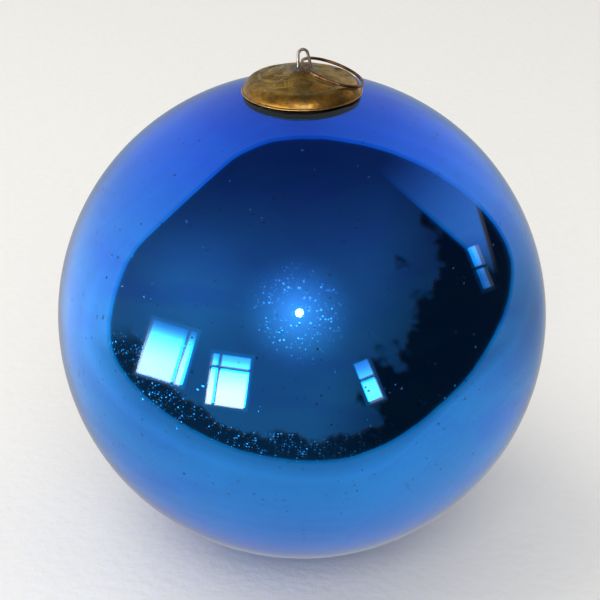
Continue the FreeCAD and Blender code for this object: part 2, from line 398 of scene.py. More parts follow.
def makeGlassMaterial():
    # cobalt glass, deeper in colour at the top, at the foot and in long level streaks, with a clear face
    # that seeds, dust and slow waves in the glass disturb
    look = ballLook
    material, tree, shader, place = newMaterial("cobaltGlass")
    height = newNode(tree, "ShaderNodeSeparateXYZ", (-1200, 200))
    wire(tree, place, height.inputs[0])
    cloud = noiseNode(tree, (-1200, 0), place, 22.0)
    swirl = mathNode(tree, "MULTIPLY_ADD", (-1000, 100), cloud, 0.03, height.outputs["Z"])
    deep = rangeNode(tree, (-800, 150), swirl, look["deepFrom"], look["deepTo"])
    below = rangeNode(tree, (-800, 0), height.outputs["Z"], look["belowFrom"], look["belowTo"],
                      0.0, look["below"])
    tint = mixColour(tree, (-500, 200), mathNode(tree, "MAXIMUM", (-650, 100), deep, below),
                     look["paleBlue"], look["deepBlue"])
    streaks = look["streaks"]
    drawn = vectorNode(tree, "MULTIPLY", (-1200, 450), place, streaks["stretch"])
    streak = noiseNode(tree, (-1000, 450), drawn, streaks["scale"], distortion=0.6)
    streak = rangeNode(tree, (-800, 450), streak, streaks["from"], streaks["to"])
    streak = mathNode(tree, "MULTIPLY", (-500, 450), streak, streaks["share"])
    tint = mixColour(tree, (-250, 250), streak, tint, look["thickBlue"], "MULTIPLY")
    wire(tree, tint, shader.inputs["Base Color"])
    shader.inputs["Transmission Weight"].default_value = 1.0
    shader.inputs["Metallic"].default_value = 0.0
    shader.inputs["IOR"].default_value = look["index"]
    seeds = useGroup(tree, (-1000, -200), scatteredSpots, place, look["seeds"])
    dust = useGroup(tree, (-1000, -400), scatteredSpots, place, look["dust"])
    sway = noiseNode(tree, (-1000, -600), place, 26.0, 1.0)
    rough = mathNode(tree, "MULTIPLY", (0, -100), dust["Mask"], 0.25, clamp=True)
    wire(tree, rough, shader.inputs["Roughness"])
    wavy = bumpNode(tree, (0, -300), sway, 0.5, 0.00018)
    pitted = bumpNode(tree, (200, -300), seeds["Mask"], 0.7, 0.0004, wavy)
    dusty = bumpNode(tree, (400, -300), dust["Mask"], 0.7, 0.00022, pitted)
    wire(tree, dusty, shader.inputs["Normal"])
    return material


def makeSilverMaterial():
    # bright silvering with faint grey clouds, and pinholes where the film has gone
    look = ballLook
    material, tree, shader, place = newMaterial("oldSilvering")
    clouds = useGroup(tree, (-1000, 100), tarnishClouds, place, look["silverClouds"])
    pinholes = useGroup(tree, (-1000, -150), scatteredSpots, place, look["pinholes"])
    film = mixColour(tree, (-500, 100), clouds["Mask"], look["silver"], look["greySilver"])
    gone = mathNode(tree, "MULTIPLY", (-400, -100), pinholes["Mask"], rangeNode(
        tree, (-600, -300), pinholes["Random"], 0.3, 1.0, 0.25, 1.0))
    worn = mixColour(tree, (-200, 100), gone, film, look["bare"])
    wire(tree, worn, shader.inputs["Base Color"])
    shader.inputs["Metallic"].default_value = 1.0
    rough = mathNode(tree, "MULTIPLY_ADD", (-200, -100), clouds["Mask"], 0.03, 0.015)
    wire(tree, rough, shader.inputs["Roughness"])
    return material


def makeBall():
    # two closed turnings about the axis: the glass from its face to its wall, and the film inside it
    look = ballLook
    inner = look["radius"] - look["wall"]
    lift = np.array([0, 0, ballCentre.z])
    outline = ballOutline(look["radius"], inner - look["gap"], look["mouth"], look["mouthEdge"],
                          look["rows"])
    verts, faces = closedTurning(turnedGrid(outline[:, 0], outline[:, 1], look["turns"]) * mm + lift)
    meshFromArrays("blown_glass", verts, faces, "ball", makeGlassMaterial(), ["glass_ball"])
    outline = ballOutline(inner, inner - look["film"], look["mouth"] + look["mouthEdge"], 0.0, look["rows"])
    verts, faces = closedTurning(turnedGrid(outline[:, 0], outline[:, 1], look["turns"]) * mm + lift)
    meshFromArrays("silvering", verts, faces, "ball", makeSilverMaterial(), ["silver_lining"])


makeBall()
print("glass ball and silvering ready")


hangerLook = {
    "wire": 0.45, "legSpacing": 3.9, "offset": 0.75, "turn": 14.0, "loopHeight": 5.95, "archWidth": 2.9,
    "archLean": 14.0, "lift": 3.0, "slope": 48.0, "reach": 14.0, "bend": 2.0, "stopGap": 0.15, "sides": 24,
    "steps": 520, "steel": (0.50, 0.47, 0.46), "rust": (0.30, 0.15, 0.095),
    "clouds": {"Broad": 420.0, "Fine": 2400.0},
}
bossTopZ = 2 * hangerLook["wire"] - hangerLook["loopHeight"]      # the boss's top, in mm from the origin


capLook = {
    "rim": 18.1, "height": 6.9, "sheet": 0.4, "domeCurve": 33.0, "shoulder": 13.0, "fullness": 0.31,
    "lipWidth": 0.55, "lipHeight": 0.5, "boss": 4.2, "bossHeight": 0.45, "seatGap": 0.05,
    "leaves": 5, "leafMiddle": 8.9, "leafLength": 8.6, "leafWidth": 4.2, "leafTurn": 28.0,
    "beadWidth": 0.5, "beadHeight": 0.20, "swell": 0.22, "lines": 0.14, "pitch": 1.05,
    "leafLeft": (0.95, 1.05, 1.2, 0.35, 0.95),      # how strong wear has left each leaf
    "scroll": 0.17, "scrollFrom": 4.6, "scrollTo": 14.2,
    "ground": 0.34, "groundTo": 14.6, "highest": 0.06,      # how far the ground sinks and a crest may rise
    "crestHeight": 0.07, "bossUneven": 0.05,
    "hole": {"radius": 0.62, "depth": 0.35, "rim": 0.85, "rimWidth": 0.22, "rimHeight": 0.07},
    "turns": 440, "rowsOut": 165, "rowsIn": 26,
    "brass": (0.66, 0.33, 0.052), "brown": (0.19, 0.10, 0.033), "green": (0.26, 0.19, 0.075),
    # worn: rubbed gold, also used as the painted highlight on the crests and the lip
    "worn": (0.70, 0.42, 0.13), "grey": (0.26, 0.22, 0.17),
    "clouds": {"Broad": 160.0, "Fine": 900.0},
    "spots": {"Scale": 900.0, "Share": 0.3, "Size": 0.35},
    "edges": {"Low": 0.503, "High": 0.535, "Scale": 700.0},
    # the lip's gold between these heights is wear and a painted highlight at once
    "lipWearAndSheenFrom": -0.01165, "lipWearAndSheenTo": -0.0124,     # heights over which the wear on the lip sets in
}


def leafRelief(x, y):
    # height in mm of the pressed leaves: each swells between its two curved edges, with a bead along
    # the edges and the midrib and fine lines that follow the edges inwards, cos(2 pi d / pitch)
    look = capLook
    a, b = look["leafLength"] / 2, look["leafWidth"] / 2
    curve = (a * a + b * b) / (2 * b)
    total = np.zeros_like(x)
    for index in range(look["leaves"]):
        turn = (index + 0.5) * 2 * pi / look["leaves"]
        u = x * np.cos(turn) + y * np.sin(turn) - look["leafMiddle"]
        v = -x * np.sin(turn) + y * np.cos(turn)
        lean = radians(look["leafTurn"])
        u, v = u * cos(lean) + v * sin(lean), -u * sin(lean) + v * cos(lean)
        depth = curve - np.maximum(np.hypot(u, v - (b - curve)), np.hypot(u, v + (b - curve)))
        within = np.clip(depth / 0.35, 0, 1)
        rib = np.where(np.abs(u) < a, np.abs(v), 9)
        bead = np.minimum(np.abs(depth), rib)
        height = look["beadHeight"] * np.exp(-(bead / (0.62 * look["beadWidth"])) ** 2)
        lines = 0.5 + 0.5 * np.cos(2 * pi * depth / look["pitch"])
        swell = look["swell"] * (1 - np.clip(1 - depth / b, 0, 1) ** 2)
        height = np.maximum(height, swell * within) + look["lines"] * lines * within
        total = np.maximum(total, height * look["leafLeft"][index])
    return total


def ringBand(r, low, high):
    # 1 between two radii, fading to 0 over 1.5 mm at the inner one and 1.6 mm at the outer one
    return np.clip((r - low) / 1.5, 0, 1) * np.clip((high - r) / 1.6, 0, 1)


def scrollRelief(x, y):
    # height in mm of shallow curved strokes that sweep round the dome between the leaves: the crests of
    # a wave in (angle + twist by radius), kept to a band of radii and worn down at the front
    r, a = np.hypot(x, y), np.arctan2(y, x)
    band = ringBand(r, capLook["scrollFrom"], capLook["scrollTo"])
    wave = np.cos(7 * a + 1.75 * r + 0.5 * np.sin(3 * a))
    worn = 0.75 + 0.6 * np.sin(a - 0.9)
    return capLook["scroll"] * worn * band * np.clip(wave, 0, 1) ** 1.5


def dentField(x, y):
    # slow dents and a faintly uneven lip, from a few sine waves of unrelated directions
    return (0.07 * np.sin(0.33 * x + 0.21 * y + 1.0) * np.sin(0.27 * y - 0.11 * x)
            + 0.035 * np.sin(0.71 * x - 0.52 * y + 2.0) + 0.02 * np.sin(1.3 * y + 0.9 * x))


def capOutline(inset, startRadius, seat, rows):
    # the broad dome, then the side that turns down to the lip, both moved in by inset
    look = capLook
    top = seat + look["height"]
    curve, curveZ = look["domeCurve"] - inset, top - look["domeCurve"]
    turnEnd = asin(look["shoulder"] / look["domeCurve"])
    turnStart = asin(startRadius / curve)
    a = np.linspace(turnStart, turnEnd, rows)
    dome = np.stack([curve * np.sin(a), curveZ + curve * np.cos(a)], -1)
    side, foot = look["rim"] - look["lipWidth"] - inset, seat + look["lipHeight"]
    shoulder = dome[-1]
    bulge = (side - (side - shoulder[0]) * look["fullness"],
             shoulder[1] - (shoulder[1] - foot) * look["fullness"])
    return np.concatenate([dome, arcThrough(tuple(shoulder), bulge, (side, foot), rows)[1:]])


def softened(outline, times):
    # each point moved halfway to the middle of its two neighbours, so that corners turn into curves
    for _ in range(times):
        outline[1:-1] += 0.5 * ((outline[:-2] + outline[2:]) / 2 - outline[1:-1])
    return outline


def makeBrassMaterial():
    # olive-brown old brass: dark in the hollows, partly tarnish and partly painted shade, greenish in
    # patches, grey on the boss, and rubbed golden on the crests, the sharp edges and the lip, where the
    # gold on the crests and the lip is partly a painted highlight
    look = capLook
    material, tree, shader, place = newMaterial("oldBrass")
    clouds = useGroup(tree, (-1100, 200), tarnishClouds, place, look["clouds"])
    spots = useGroup(tree, (-1100, -50), scatteredSpots, place, look["spots"])
    edges = useGroup(tree, (-1100, -300), rubbedEdges, place, look["edges"])
    raised = newNode(tree, "ShaderNodeAttribute", (-1100, 950), attribute_name="raised").outputs["Fac"]

    # painted shade: the hollows between the raised lines darken towards brown, on top of the tarnish clouds
    hollowTarnishAndShade = rangeNode(tree, (-900, 1250), raised, 0.5, 0.1, 0.0, 0.6)
    body = mixColour(tree, (-700, 300), mathNode(tree, "MAXIMUM", (-800, 400), clouds["Mask"], hollowTarnishAndShade),
                     look["brass"], look["brown"])
    green = rangeNode(tree, (-850, 500), noiseNode(tree, (-1100, 500), place, 120.0), 0.5, 0.72, 0.0, 0.75)
    body = mixColour(tree, (-500, 300), green, body, look["green"])
    body = mixColour(tree, (-300, 200), mathNode(tree, "MULTIPLY", (-500, 50), spots["Mask"], 0.5), body,
                     look["brown"])

    # the crests turn worn gold: partly rubbed wear, partly a painted highlight on the raised leaves
    crest = mathNode(tree, "MULTIPLY", (-700, 900), rangeNode(tree, (-900, 950), raised, 0.55, 1.0),
                     rangeNode(tree, (-900, 1100), clouds["Grain"], 0.1, 0.6, 0.22, 0.6))
    height = newNode(tree, "ShaderNodeSeparateXYZ", (-1100, -550))
    wire(tree, place, height.inputs[0])
    # the lip turns worn gold: partly rubbed wear, partly a painted highlight
    lip = mathNode(tree, "MULTIPLY", (-650, -500),
                   rangeNode(tree, (-850, -550), height.outputs["Z"], look["lipWearAndSheenFrom"], look["lipWearAndSheenTo"]),
                   rangeNode(tree, (-850, -750), clouds["Grain"], 0.0, 0.6, 0.1, 0.5))
    # worn gathers the rubbed wear of crests, edges and lip, with the painted highlight on the crests and
    # the lip
    worn = mathNode(tree, "MAXIMUM", (-500, -200), crest, edges["Mask"])
    worn = mathNode(tree, "MAXIMUM", (-500, -300), worn, lip)
    body = mixColour(tree, (-100, 100), mathNode(tree, "MULTIPLY", (-300, -200), worn, 0.85), body,
                     look["worn"])

    flat = vectorNode(tree, "MULTIPLY", (-1100, 750), place, (1.0, 1.0, 0.0))
    onBoss = rangeNode(tree, (-750, 750), vectorNode(tree, "LENGTH", (-950, 750), flat),
                       0.0062, 0.0028, 0.0, 0.8)
    body = mixColour(tree, (50, 250), onBoss, body, look["grey"])
    wire(tree, body, shader.inputs["Base Color"])
    shader.inputs["Metallic"].default_value = 1.0
    dull = mathNode(tree, "MULTIPLY_ADD", (0, -150), clouds["Mask"], 0.12, 0.38)
    rough = mathNode(tree, "MULTIPLY_ADD", (200, -150), worn, -0.1, dull)
    wire(tree, rough, shader.inputs["Roughness"])

    punched = newNode(tree, "ShaderNodeTexVoronoi", (-300, -500))
    wire(tree, place, punched.inputs["Vector"])
    punched.inputs["Scale"].default_value = 1100.0
    grain = bumpNode(tree, (100, -400), punched.outputs["Distance"], 0.22, 0.00012)
    grain = bumpNode(tree, (300, -400), clouds["Grain"], 0.3, 0.0001, grain)
    wire(tree, grain, shader.inputs["Normal"])
    return material


def capSection(seat):
    # half the cap's section in mm, as (r, z) points: from the boss's middle over the dome and side, round
    # the lip, and back inside to the axis
    look = capLook
    rim, lipIn, lipTop = look["rim"], look["rim"] - look["lipWidth"], seat + look["lipHeight"]
    top = seat + look["height"]
    bossEdge, bossTop = look["boss"] - look["bossHeight"], top + look["bossHeight"]
    footZ = top - (look["domeCurve"] - sqrt(look["domeCurve"] ** 2 - look["boss"] ** 2))
    s = np.linspace(0, 1, 10)[:, None]
    crown = np.concatenate([
        np.array([[0, bossTop]]) * (1 - s) + np.array([[bossEdge - 0.2, bossTop]]) * s,
        arcPoints((bossEdge - 0.3, bossTop - 0.9), 0.9, pi / 2, pi / 4, 6)[1:],
        np.array([[look["boss"] + 0.15, footZ + 0.10], [look["boss"] + 0.6, footZ - 0.03]]),
    ])
    outside = np.concatenate([crown, capOutline(0.0, look["boss"] + 1.1, seat, 60)])
    outside = softened(evenSteps(outside, look["rowsOut"]), 12)
    lip = np.array([[lipIn + 0.12, lipTop - 0.03], [rim - 0.2, lipTop - 0.02], [rim - 0.06, lipTop - 0.08],
                    [rim, lipTop - 0.22], [rim, seat + 0.16], [rim - 0.06, seat + 0.04],
                    [rim - 0.2, seat], [lipIn, seat + 0.01]])
    inside = np.concatenate([[[lipIn - look["sheet"], seat + 0.12]],
                             capOutline(look["sheet"], 0.0, seat, 60)[::-1]])
    outline = np.concatenate([outside, lip, evenSteps(inside, look["rowsIn"])])
    outline[[0, -1], 0] = 0
    return outline


def sectionNormals(outline):
    # the way out of the sheet at each point of the section, at right angles to its run
    run = np.gradient(outline, axis=0)
    normal = np.stack([-run[:, 1], run[:, 0]], -1)
    return normal / np.linalg.norm(normal, axis=1)[:, None]


def makeCap():
    # the turned section, moved out by leaves and strokes less the sunken ground between them, so that
    # the crests stand level with the smooth dome, and moved up by the dents
    look = capLook
    seat = sqrt((ballRadius + look["seatGap"]) ** 2 - (look["rim"] - look["lipWidth"]) ** 2)
    outline = capSection(seat)
    normal = sectionNormals(outline)
    grid = turnedGrid(outline[:, 0], outline[:, 1], look["turns"])
    outward = turnedGrid(normal[:, 0], normal[:, 1], look["turns"])
    x, y = grid[..., 0], grid[..., 1]
    r = np.hypot(x, y)
    onOutside = np.arange(len(outline))[:, None] < look["rowsOut"]
    pattern = np.maximum(leafRelief(x, y), scrollRelief(x, y))
    uneven = look["bossUneven"] * np.sin(5.2 * x + 1.3) * np.sin(4.7 * y + 0.4)
    relief = pattern + uneven * np.clip((look["boss"] - r) / 0.8, 0, 1)
    hole = look["hole"]
    for side in (-1, 1):      # a raised rim round each leg's hole, and the hole as a dark pit
        leg = side * hangerLook["legSpacing"] / 2
        away = np.hypot(x - hangerLook["offset"] - leg * cos(radians(hangerLook["turn"])),
                        y - leg * sin(radians(hangerLook["turn"])))
        edge = hole["rimHeight"] * np.exp(-((away - hole["rim"]) / hole["rimWidth"]) ** 2)
        relief += edge - hole["depth"] * np.clip(1 - away / hole["radius"], 0, 1) ** 0.5
    relief = np.where(onOutside, relief, 0)
    ground = look["ground"] * ringBand(r, look["scrollFrom"], look["groundTo"])
    moved = np.where(onOutside, np.minimum(relief - ground, look["highest"]),
                     -np.minimum(pattern - ground, look["highest"]))
    level = dentField(x, y) * np.clip((look["rim"] - 0.2 - r) / 2.0, 0, 1)
    level = np.where(r < look["boss"] + 1, level * np.clip((r - 2) / 3.2, 0, 1), level)
    grid = grid + outward * moved[..., None]
    grid[..., 2] += level * np.clip((grid[..., 2] - seat - 0.3) / 1.0, 0, 1)

    # how far each point stands above the mean of its surroundings, as 0.5 + 0.5 h / crestHeight
    around = [np.roll(relief, (i, j), (0, 1)) for i in (-8, -4, 0, 4, 8) for j in (-12, -6, 0, 6, 12)]
    above = (relief - sum(around) / len(around)) / look["crestHeight"]
    crest = np.where(onOutside, np.clip(0.5 + 0.5 * above, 0, 1), 0.5)
    verts, faces = closedTurning(grid[:, ::-1] * mm + np.array([0, 0, ballCentre.z]))
    raised = np.concatenate([crest[:1, -1], crest[1:-1, ::-1].ravel(), crest[-1:, -1]])
    meshFromArrays("pressed_cap", verts, faces, "cap", makeBrassMaterial(), ["brass_cap"],
                   raised)


makeCap()
print("brass cap ready")


def roundedCorner(before, corner, after, radius, count):
    # the arc of that radius which touches both straight runs at a corner
    back, on = before - corner, after - corner
    back, on = back / np.linalg.norm(back), on / np.linalg.norm(on)
    half = np.arccos(np.clip(back @ on, -1, 1)) / 2
    middle = corner + (back + on) / np.linalg.norm(back + on) * radius / np.sin(half)
    start, end = corner + back * radius / np.tan(half), corner + on * radius / np.tan(half)
    a0 = np.arctan2(*(start - middle)[::-1])
    a1 = np.arctan2(*(end - middle)[::-1])
    a1 = a0 + (a1 - a0 + pi) % (2 * pi) - pi
    return arcPoints(middle, radius, a0, a1, count)


def hangerPath(look):
    # foot, bend, leg, arch, leaning leg, knee, leg, bend and foot, in the loop's own plane, in mm
    leg, arch = look["legSpacing"] / 2, look["archWidth"] / 2
    slope, lean = radians(look["slope"]), radians(look["archLean"])
    ballZ = ballCentre.z / mm
    inner = ballLook["radius"] - ballLook["wall"]
    edge = ballZ + sqrt(inner ** 2 - ballLook["mouth"] ** 2)
    run = (ballLook["mouth"] - look["offset"] - leg) / sin(slope)
    bendZ = edge - look["lift"] + run * cos(slope) - (look["wire"] + look["stopGap"]) / sin(slope)
    footZ = bendZ - (look["reach"] - leg) / tan(slope)
    archZ = bossTopZ + look["loopHeight"] - look["wire"] - arch
    archX = arch - leg
    meet = np.array([archX + arch * cos(lean), archZ + arch * sin(lean)])
    knee = np.array([leg, meet[1] - (leg - meet[0]) / tan(lean)])
    footA, footB = np.array([-look["reach"], footZ]), np.array([look["reach"], footZ])
    cornerA, cornerB = np.array([-leg, bendZ]), np.array([leg, bendZ])
    topA = np.array([-leg, archZ])
    return np.concatenate([
        footA[None], roundedCorner(footA, cornerA, topA, look["bend"], 14),
        arcPoints((archX, archZ), arch, pi, lean, 40),
        roundedCorner(meet, knee, cornerB, look["bend"], 8),
        roundedCorner(knee, cornerB, footB, look["bend"], 14), footB[None]])


def makeSteelMaterial():
    # dull drawn wire, redder with rust towards the arch
    look = hangerLook
    material, tree, shader, place = newMaterial("drawnSteelWire")
    clouds = useGroup(tree, (-1000, 100), tarnishClouds, place, look["clouds"])
    height = newNode(tree, "ShaderNodeSeparateXYZ", (-1000, 350))
    wire(tree, place, height.inputs[0])
    upper = rangeNode(tree, (-800, 350), height.outputs["Z"], -0.0035, 0.0005, 0.25, 1.0)
    rust = mathNode(tree, "MULTIPLY", (-500, 200), clouds["Mask"], upper, clamp=True)
    wire(tree, mixColour(tree, (-200, 200), rust, look["steel"], look["rust"]), shader.inputs["Base Color"])
    shader.inputs["Metallic"].default_value = 1.0
    wire(tree, mathNode(tree, "MULTIPLY_ADD", (0, -100), rust, 0.25, 0.28), shader.inputs["Roughness"])
    wire(tree, bumpNode(tree, (200, -300), clouds["Grain"], 0.35, 0.00008), shader.inputs["Normal"])
    return material


def makeHanger():
    # the flat path turned about the axis and moved by its offset; the wire's radius falls as a circle's
    # over the last steps of each end, and waves by about a hundredth along it
    look = hangerLook
    flat = evenSteps(hangerPath(look), look["steps"])
    turn = radians(look["turn"])
    path = np.stack([look["offset"] + flat[:, 0] * cos(turn), flat[:, 0] * sin(turn), flat[:, 1]], -1)
    normal = np.array([-sin(turn), cos(turn), 0.0])
    along = np.linspace(0, 1, len(path))
    roundedSteps = 5.0
    ends = np.clip(np.minimum(along, 1 - along) * len(path) / roundedSteps, 0, 1)
    radius = look["wire"] * np.sqrt(np.clip(1 - (1 - ends) ** 2, 0.04, 1))
    radius = radius * (1 - 0.008 * (1 + np.sin(61 * along)) - 0.006 * (1 + np.sin(173 * along)))
    radius = np.repeat(radius[:, None], look["sides"], 1)
    verts, faces = tubeAlong(path, normal, radius, look["sides"], False)
    meshFromArrays("loop_wire", verts * mm, faces, "hanger", makeSteelMaterial(),
                   ["hanger_wire"])


makeHanger()
print("hanger wire ready")


ringLook = {
    "mean": 9.55, "wire": 0.475, "offset": 0.06, "rest": 1.45, "slope": 19.5, "turn": 3.0,
    "segments": 420, "sides": 24, "jointAt": 0.94,     # where round the ring the wire's two ends meet
    "brown": (0.42, 0.20, 0.09), "dark": (0.13, 0.065, 0.04), "bright": (0.80, 0.52, 0.26),
    "clouds": {"Broad": 380.0, "Fine": 2000.0},
}


def makeRingMaterial():
    # browned wire with darker patches and small bright rubbed places
    look = ringLook
    material, tree, shader, place = newMaterial("brownedWire")
    clouds = useGroup(tree, (-1000, 100), tarnishClouds, place, look["clouds"])
    bright = rangeNode(tree, (-800, -150), noiseNode(tree, (-1000, -150), place, 330.0), 0.58, 0.72)
    colour = mixColour(tree, (-500, 150), clouds["Mask"], look["brown"], look["dark"])
    colour = mixColour(tree, (-200, 150), bright, colour, look["bright"])
    wire(tree, colour, shader.inputs["Base Color"])
    shader.inputs["Metallic"].default_value = 1.0
    rough = mathNode(tree, "MULTIPLY_ADD", (0, -100), clouds["Mask"], 0.22, 0.26)
    wire(tree, rough, shader.inputs["Roughness"])
    wire(tree, bumpNode(tree, (200, -300), clouds["Grain"], 0.4, 0.00008), shader.inputs["Normal"])
    return material


def makeRing():
    # a circle of the mean radius, laid by slope and turn, with a fine groove where the wire's ends meet
    look = ringLook
    a = np.linspace(0, 2 * pi, look["segments"], endpoint=False)
    slope, turn = radians(look["slope"]), radians(look["turn"])
    u, v = look["mean"] * (1 + np.cos(a)), look["mean"] * np.sin(a)
    x, y, z = u * cos(slope) + look["offset"], v, -u * sin(slope) + bossTopZ + look["rest"]
    path = np.stack([x * cos(turn) - y * sin(turn), x * sin(turn) + y * cos(turn), z], -1)
    normal = np.array([sin(slope) * cos(turn), sin(slope) * sin(turn), cos(slope)])
    away = np.abs((a / (2 * pi) - look["jointAt"] + 0.5) % 1 - 0.5) * 2 * pi * look["mean"]
    groove = np.exp(-(away / 0.13) ** 2)
    radius = look["wire"] * (1 - 0.3 * groove - 0.008 * (1 + np.sin(7 * a)) - 0.006 * (1 + np.sin(23 * a)))
    radius = np.repeat(radius[:, None], look["sides"], 1)
    verts, faces = tubeAlong(path, normal, radius, look["sides"], True)
    meshFromArrays("wire_ring", verts * mm, faces, "ring", makeRingMaterial(),
                   ["hanging_ring"])


makeRing()
print("ring ready")


cameraLook = {
    "elevation": 26.0, "away": 8.0, "fill": 0.8133,      # in degrees, ball radii and widths of the frame
    "right": 0.0033, "down": 0.0242, "sensor": 36.0,     # how far the ball stands off the frame's middle
}


def viewAxes(elevation):
    # back, right and up of a camera on the -Y side that looks down by elevation
    e = radians(elevation)
    back = Vector((0.0, -cos(e), sin(e)))
    right = Vector((1.0, 0.0, 0.0))
    return back, right, back.cross(right)


def makeCamera():
    # the lens gives the ball its share of the frame: half angle asin(1 / away)
    look = cameraLook
    back = viewAxes(look["elevation"])[0]
    camera = bpy.data.objects.new("camera", bpy.data.cameras.new("camera"))
    bpy.context.scene.collection.objects.link(camera)
    camera.location = ballCentre + back * look["away"] * ballRadius * mm
    camera.rotation_euler = (-back).to_track_quat("-Z", "Y").to_euler()
    camera.data.sensor_width = look["sensor"]
    camera.data.lens = look["sensor"] * look["fill"] / 2 * sqrt(look["away"] ** 2 - 1)
    camera.data.shift_x = -look["right"]
    camera.data.shift_y = look["down"]
    camera.data.clip_start = 0.01
    bpy.context.scene.camera = camera


makeCamera()
print("camera ready")


studioLook = {
    "floor": (0.90, 0.885, 0.86), "floorShade": 0.96, "floorSize": 6.0,
    "floorLight": 0.69, "backdrop": 0.92,
    "warm": (0.99, 0.99, 0.98), "cool": (0.70, 0.87, 1.0), "coolFrom": 0.30, "coolTo": 0.72,
    # the pale sweep: its own tone, brightest at the left, then places that lift or lower it
    "sweep": {"middle": (-0.93, 0.06), "radius": 0.62, "low": 0.64, "high": 1.08},
    "patches": [((0.95, 0.02), 0.5, -0.27), ((0.0, 0.82), 0.5, -0.16), ((0.66, 0.66), 0.4, 0.14),
                ((-0.62, 0.62), 0.5, 0.16), ((0.05, -0.95), 0.5, -0.05)],
    "behind": 0.52,
    # the dim room: a wide oval with a straight edge at the upper left
    "roomMiddle": (0.037, 0.060), "roomWide": 0.820, "roomTall": 0.647, "roomTilt": 12.0, "roomPower": 1.7,
    "cutAngle": 132.5, "cutAway": 0.647,
    "darkest": 0.018,
    "wall": {"middle": (0.515, 0.475), "tilt": -41.0},
    "windows": [      # middle, half width and height, tilt, tones at top and foot, bars, tone of the frame
        {"middle": (-0.535, -0.150), "half": (0.088, 0.105), "tilt": -17.0, "low": 0.35, "high": 14.0,
         "bars": (0.060, None), "frame": 0.42},
        {"middle": (-0.290, -0.262), "half": (0.072, 0.095), "tilt": -8.0, "low": 1.5, "high": 22.0,
         "bars": (-0.045, 0.048), "frame": 0.34},
        {"middle": (0.262, -0.262), "half": (0.026, 0.078), "tilt": 22.0, "low": 0.7, "high": 4.0,
         "bars": (None, 0.01), "frame": 0.16},
        {"middle": (0.712, 0.190), "half": (0.013, 0.085), "tilt": 22.0, "low": 1.6, "high": 0.5,
         "bars": (None, 0.0), "frame": 0.05},
    ],
    # the lamp beside the camera, as a glow with a scatter of glints round it
    "flash": (-0.02, 0.006), "glowRadius": 0.27, "glow": 1.2,
    "glints": {"Scale": 90.0, "Share": 0.85, "Size": 0.40}, "glintTone": 9.0,
}


def makeFloor():
    # one flat square under the ball, a fine grain in its tone and surface
    look = studioLook
    size, low = look["floorSize"], cadLow.z
    mesh = bpy.data.meshes.new("floor")
    corners = [(-size, -size, low), (size, -size, low), (size, size, low), (-size, size, low)]
    mesh.from_pydata(corners, [], [(0, 1, 2, 3)])
    floor = bpy.data.objects.new("floor", mesh)
    bpy.context.scene.collection.objects.link(floor)
    material, tree, shader, place = newMaterial("paleFloor")
    weave = noiseNode(tree, (-900, 0), place, 260.0, 4.0)
    shaded = tuple(look["floorShade"] * part for part in look["floor"])
    wire(tree, mixColour(tree, (-500, 100), weave, look["floor"], shaded), shader.inputs["Base Color"])
    shader.inputs["Roughness"].default_value = 0.9
    shader.inputs["Specular IOR Level"].default_value = 0.1
    wire(tree, bumpNode(tree, (200, -300), weave, 0.3, 0.0012), shader.inputs["Normal"])
    floor.data.materials.append(material)
    floor.visible_glossy = False
    floor.visible_transmission = False


def turnedPair(tree, at, p, q, middle, tilt):
    # (p, q) seen from a middle and turned by tilt degrees t:
    # along = dp cos t + dq sin t, across = dq cos t - dp sin t
    t = radians(tilt)
    dp = mathNode(tree, "SUBTRACT", at, p, middle[0])
    dq = mathNode(tree, "SUBTRACT", (at[0], at[1] - 150), q, middle[1])
    across = mathNode(tree, "MULTIPLY_ADD", (at[0] + 300, at[1] - 150), dp, -sin(t),
                      mathNode(tree, "MULTIPLY", (at[0] + 150, at[1] - 150), dq, cos(t)))
    along = mathNode(tree, "MULTIPLY_ADD", (at[0] + 300, at[1]), dq, sin(t),
                     mathNode(tree, "MULTIPLY", (at[0] + 150, at[1]), dp, cos(t)))
    return along, across


def boxMask(tree, at, along, across, half, soft):
    # 1 inside a rectangle of half sizes, falling to 0 over the soft width at its edges
    masks = []
    for index, line in enumerate((along, across)):
        size = mathNode(tree, "ABSOLUTE", (at[0], at[1] - 150 * index), line)
        masks.append(rangeNode(tree, (at[0] + 150, at[1] - 150 * index), size,
                               half[index] + soft, half[index]))
    return mathNode(tree, "MULTIPLY", (at[0] + 300, at[1]), *masks)


def blob(tree, at, flat, middle, radius, low, high):
    # high at a middle (p, q), falling smoothly to low at a radius from it
    away = vectorNode(tree, "DISTANCE", at, flat, (*middle, 0.0))
    return rangeNode(tree, (at[0] + 200, at[1]), away, 0.0, radius, high, low)


def addWindow(tree, at, p, q, shade, window):
    # a frame a little larger than the pane, then the pane less its bars, brighter towards its foot
    along, across = turnedPair(tree, at, p, q, window["middle"], window["tilt"])
    wide, tall = window["half"]
    frame = boxMask(tree, (at[0] + 450, at[1] + 150), along, across, (wide + 0.016, tall + 0.018), 0.004)
    pane = boxMask(tree, (at[0] + 450, at[1] - 250), along, across, (wide, tall), 0.006)
    for bar, line in zip(window["bars"], (along, across)):
        if bar is None:
            continue
        gap = mathNode(tree, "ABSOLUTE", (at[0] + 600, at[1] - 500), mathNode(
            tree, "SUBTRACT", (at[0] + 450, at[1] - 500), line, bar))
        pane = mathNode(tree, "MULTIPLY", (at[0] + 900, at[1] - 300), pane, rangeNode(
            tree, (at[0] + 750, at[1] - 500), gap, 0.003, 0.010))
    light = rangeNode(tree, (at[0] + 600, at[1] - 700), across, tall, -0.6 * tall,
                      window["low"], window["high"])
    shade = mathNode(tree, "MAXIMUM", (at[0] + 1050, at[1]), shade, mathNode(
        tree, "MULTIPLY", (at[0] + 900, at[1]), frame, window["frame"]))
    return mathNode(tree, "MULTIPLY_ADD", (at[0] + 1200, at[1]), pane, light, shade)


